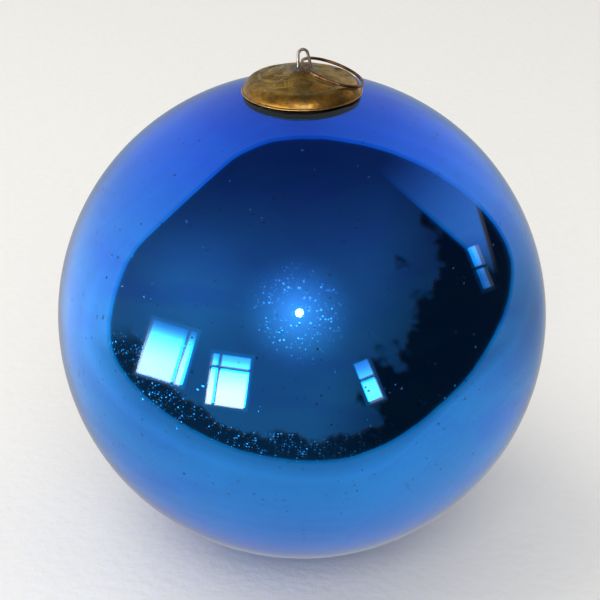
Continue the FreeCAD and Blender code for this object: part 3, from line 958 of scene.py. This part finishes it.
def roomOval(tree, middle, p, q):
    # below 1 inside the room: |along / wide| ^ k + |across / tall| ^ k, or the fourth power of the way
    # towards the straight cut, whichever is larger, and a slight wobble
    look = studioLook
    along, across = turnedPair(tree, (-1000, 0), p, q, look["roomMiddle"], look["roomTilt"])
    parts = [mathNode(tree, "POWER", (-400, 100), mathNode(tree, "ABSOLUTE", (-500, 100), mathNode(
        tree, "DIVIDE", (-600, 100), line, size)), look["roomPower"])
        for line, size in ((along, look["roomWide"]), (across, look["roomTall"]))]
    oval = mathNode(tree, "ADD", (-300, 50), *parts)
    cut = radians(look["cutAngle"])
    toCut = mathNode(tree, "MULTIPLY_ADD", (-500, -200), p, cos(cut) / look["cutAway"], mathNode(
        tree, "MULTIPLY", (-650, -200), q, sin(cut) / look["cutAway"]))
    toCut = mathNode(tree, "POWER", (-350, -200), toCut, 4.0)
    oval = mathNode(tree, "SMOOTH_MAX", (-200, 0), oval, toCut, 0.08)
    wobble = noiseNode(tree, (-1200, -400), middle, 5.0, 4.0)
    return mathNode(tree, "MULTIPLY_ADD", (-100, 50), wobble, 0.05, oval)


def paleSweep(tree, flat, q, oval):
    # the sweep's tone with its patches added, dimmer close above the room and faintly streaked, and one
    # even tone straight behind the ball, where (p, q) comes to the circle's edge
    look = studioLook
    sweep = look["sweep"]
    pale = blob(tree, (-1000, 500), flat, sweep["middle"], sweep["radius"], sweep["low"], sweep["high"])
    for index, (middle, radius, change) in enumerate(look["patches"]):
        pale = mathNode(tree, "ADD", (-600 + 120 * index, 500), pale,
                        blob(tree, (-1000, 700 + 200 * index), flat, middle, radius, 0.0, change))
    nearEdge = rangeNode(tree, (-900, 1900), oval, 1.0, 1.25, 0.62, 1.0)
    lowSide = rangeNode(tree, (-900, 2100), q, -0.05, -0.35, 1.0, 0.0)
    nearEdge = mathNode(tree, "MAXIMUM", (-600, 1900), nearEdge, lowSide)
    streaks = noiseNode(tree, (-1200, 2300), oval, 7.0)
    streaks = rangeNode(tree, (-900, 2300), streaks, 0.3, 0.7, 0.93, 1.05)
    pale = mathNode(tree, "MULTIPLY", (0, 500), pale, nearEdge)
    pale = mathNode(tree, "MULTIPLY", (150, 500), pale, streaks)
    behind = newNode(tree, "ShaderNodeMix", (300, 500), data_type="FLOAT")
    outer = vectorNode(tree, "LENGTH", (-200, 800), flat)
    wire(tree, rangeNode(tree, (0, 800), outer, 0.945, 0.997), behind.inputs[0])
    wire(tree, pale, behind.inputs[2])
    behind.inputs[3].default_value = look["behind"]
    return behind.outputs[0]


def dimRoom(tree, flat, p, q, floorEdge, blocks):
    # lighter low down and at the left, dark shapes towards the right, a lit wall at the upper right, and
    # the dark foot of the room
    look = studioLook
    shade = rangeNode(tree, (-900, -600), q, 0.66, 0.05, 0.085, 0.235)
    shade = mathNode(tree, "ADD", (-600, -600), shade,
                     blob(tree, (-900, -800), flat, (-0.44, 0.10), 0.34, 0.0, 0.13))
    rightSide = mathNode(tree, "MULTIPLY_ADD", (-900, -1000), q, -0.35, p)
    shade = mathNode(tree, "MULTIPLY", (-450, -600), shade, rangeNode(
        tree, (-750, -1000), rightSide, 0.15, 0.50, 1.0, 0.42))
    dark = mathNode(tree, "MULTIPLY_ADD", (-900, -1200), blocks, 0.7, rightSide)
    shade = mathNode(tree, "MULTIPLY", (-300, -600), shade, rangeNode(
        tree, (-750, -1200), dark, 0.76, 0.84, 1.0, 0.16))

    wall, aslant = turnedPair(tree, (-1200, -1500), p, q, look["wall"]["middle"], look["wall"]["tilt"])
    wedge = mathNode(tree, "MULTIPLY_ADD", (-600, -1950), q, 0.28, p)
    lit = rangeNode(tree, (-600, -1500), aslant, -0.075, -0.060)
    for index, part in enumerate((rangeNode(tree, (-600, -1650), wall, -0.32, 0.22, 0.06, 0.52),
                                  rangeNode(tree, (-600, -1800), q, 0.12, 0.34),
                                  rangeNode(tree, (-400, -1950), wedge, 0.832, 0.820))):
        lit = mathNode(tree, "MULTIPLY", (-400 + 150 * index, -1500), lit, part)
    shade = mathNode(tree, "MAXIMUM", (-100, -600), shade, lit)
    shade = mathNode(tree, "MULTIPLY", (0, -600), shade, mathNode(
        tree, "MULTIPLY_ADD", (-100, -2000), floorEdge, -0.80, 1.0))
    shade = mathNode(tree, "MAXIMUM", (50, -700), shade, look["darkest"])
    for index, window in enumerate(look["windows"]):
        shade = addWindow(tree, (-1800, -2600 - 1000 * index), p, q, shade, window)
    return shade


def addFlash(tree, middle, flat, p, floorEdge, shade):
    # a glow that falls with the distance from the lamp, and glints close to it and along the room's foot
    look = studioLook
    away = vectorNode(tree, "DISTANCE", (-1200, -7000), flat, (*look["flash"], 0.0))
    glow = mathNode(tree, "POWER", (-800, -7000), rangeNode(
        tree, (-1000, -7000), away, look["glowRadius"], 0.0, smooth=False), 2.2)
    shade = mathNode(tree, "MULTIPLY_ADD", (200, -600), glow, look["glow"], shade)
    glints = useGroup(tree, (-1000, -7300), scatteredSpots, middle, look["glints"])
    near = rangeNode(tree, (-800, -7500), away, 0.22, 0.0, 0.0, 1.4)
    share = mathNode(tree, "MULTIPLY_ADD", (-800, -7700), floorEdge, rangeNode(
        tree, (-1000, -7700), p, 0.40, -0.25, 0.0, 0.45), near, clamp=True)
    spark = mathNode(tree, "MULTIPLY", (-500, -7400), mathNode(
        tree, "POWER", (-700, -7300), glints["Random"], 2.0), glints["Mask"])
    spark = mathNode(tree, "MULTIPLY", (-300, -7400), spark, share)
    return mathNode(tree, "MULTIPLY_ADD", (350, -600), spark, look["glintTone"], shade)


def makeSurround():
    # The surround by direction d. With c the direction to the camera, m = (d + c) / |d + c| is the way a
    # mirror ball's face points where it shows d, and its right and up parts (p, q) place things on it:
    # a pale sweep all round, and a dim room in a wide oval, with windows low in it. Diffuse and camera
    # rays get one plain tone each instead.
    look = studioLook
    world = bpy.data.worlds.new("surround")
    bpy.context.scene.world = world
    world.use_nodes = True
    tree = world.node_tree
    background = tree.nodes["Background"]
    background.location = (1100, 0)
    tree.nodes["World Output"].location = (1300, 0)
    ray = newNode(tree, "ShaderNodeTexCoord", (-1800, 0)).outputs["Generated"]
    back, right, up = viewAxes(cameraLook["elevation"])
    middle = vectorNode(tree, "NORMALIZE", (-1400, 0), vectorNode(tree, "ADD", (-1600, 0), ray, back))
    p = vectorNode(tree, "DOT_PRODUCT", (-1200, 100), middle, right)
    q = vectorNode(tree, "DOT_PRODUCT", (-1200, -100), middle, up)
    pair = newNode(tree, "ShaderNodeCombineXYZ", (-1000, 300))
    wire(tree, p, pair.inputs[0])
    wire(tree, q, pair.inputs[1])
    flat = pair.outputs[0]

    oval = roomOval(tree, middle, p, q)
    blocks = noiseNode(tree, (-1200, -1200), middle, 6.0, 3.0, 0.6)
    broken = mathNode(tree, "MULTIPLY_ADD", (-750, -2000), blocks, 0.35, oval)
    floorEdge = mathNode(tree, "MULTIPLY", (-300, -2000),
                         rangeNode(tree, (-600, -2000), broken, 0.97, 1.01),
                         rangeNode(tree, (-600, -2200), q, -0.02, -0.14))
    shade = dimRoom(tree, flat, p, q, floorEdge, blocks)
    shade = addFlash(tree, middle, flat, p, floorEdge, shade)

    strength = newNode(tree, "ShaderNodeMix", (450, -100), data_type="FLOAT")
    wire(tree, rangeNode(tree, (0, 50), oval, 1.018, 1.040, 1.0, 0.0), strength.inputs[0])
    wire(tree, paleSweep(tree, flat, q, oval), strength.inputs[2])
    wire(tree, shade, strength.inputs[3])
    sight = newNode(tree, "ShaderNodeLightPath", (200, 500))
    plainRay = mathNode(tree, "ADD", (400, -150), sight.outputs["Is Diffuse Ray"],
                        sight.outputs["Is Camera Ray"])
    shiny = mathNode(tree, "SUBTRACT", (550, -150), 1.0, plainRay)
    cooler = mathNode(tree, "MULTIPLY", (700, -300), rangeNode(
        tree, (500, -400), q, look["coolFrom"], look["coolTo"]), shiny)
    wire(tree, mixColour(tree, (900, -300), cooler, look["warm"], look["cool"]), background.inputs["Color"])
    plainTones = (("Is Diffuse Ray", look["floorLight"]), ("Is Camera Ray", look["backdrop"]))
    for index, (kind, plain) in enumerate(plainTones):
        chosen = newNode(tree, "ShaderNodeMix", (700 + 150 * index, 300), data_type="FLOAT")
        wire(tree, sight.outputs[kind], chosen.inputs[0])
        wire(tree, strength.outputs[0], chosen.inputs[2])
        chosen.inputs[3].default_value = plain
        strength = chosen
    wire(tree, strength.outputs[0], background.inputs["Strength"])


def makeLamp(name, look):
    # a round soft lamp that looks at the ball from its direction and distance
    direction = Vector(look["direction"])
    light = bpy.data.lights.new(name, "AREA")
    light.shape = "DISK"
    light.size = look["size"]
    light.energy = look["power"]
    light.color = look["colour"]
    lamp = bpy.data.objects.new(name, light)
    bpy.context.scene.collection.objects.link(lamp)
    lamp.location = ballCentre + direction.normalized() * look["distance"]
    lamp.rotation_euler = (-direction).to_track_quat("-Z", "Y").to_euler()
    return lamp


backAxis, rightAxis, upAxis = viewAxes(cameraLook["elevation"])
lampLook = {
    "key": {"direction": (-0.7, 0.1, 1.0), "distance": 1.4, "size": 1.4, "power": 7.0,
            "colour": (1.0, 0.97, 0.92)},
    "fill": {"direction": (0.0, -1.0, 0.55), "distance": 1.1, "size": 0.8, "power": 6.0,
             "colour": (0.97, 0.98, 1.0)},
    "front": {"direction": backAxis - 0.02 * rightAxis + 0.012 * upAxis, "distance": 0.62, "size": 0.036,
              "power": 1.1, "colour": (1.0, 1.0, 1.0)},
}

makeFloor()
makeSurround()
for name in ("key", "fill"):      # these light the floor and cap without being seen in the ball
    lamp = makeLamp(name + "Lamp", lampLook[name])
    lamp.visible_glossy = False
    lamp.visible_transmission = False
makeLamp("frontLamp", lampLook["front"]).visible_diffuse = False      # the flash, as a highlight only
bpy.context.scene.view_settings.view_transform = "Standard"
print("floor, surround and lamps ready")
